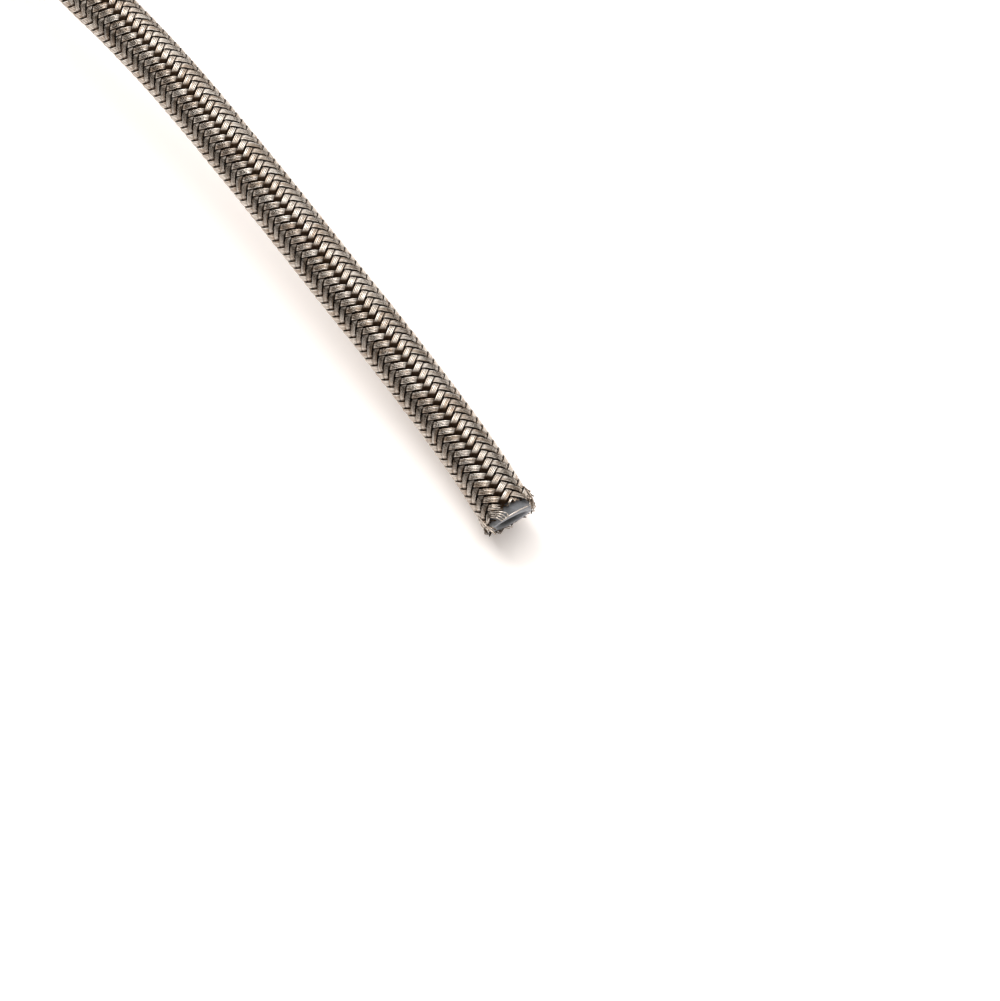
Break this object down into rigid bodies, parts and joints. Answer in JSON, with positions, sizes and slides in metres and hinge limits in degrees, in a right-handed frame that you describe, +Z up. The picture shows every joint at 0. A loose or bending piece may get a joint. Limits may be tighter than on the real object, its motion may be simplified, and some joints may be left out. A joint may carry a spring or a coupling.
{
  "type": "braided hose",
  "caption": "Length of stainless wire braided rubber hose with a raw, slightly frayed cut end, its spare length wound in a neat round coil.",
  "frame": {"origin": "on the surface that the hose lies on, at the middle of its outline seen from above", "axes": "+Z up, +Y from the raw cut end towards the coil"},
  "size_m": [0.193, 0.3931, 0.0432],
  "materials": {
    "bare_wire": "bright drawn wire",
    "liner_rubber": "matt"
  },
  "bodies": {
    "root": {"hose_liner": "liner_rubber", "wire_braid": "bare_wire", "hose_coil": "bare_wire"}
  },
  "joints": []
}
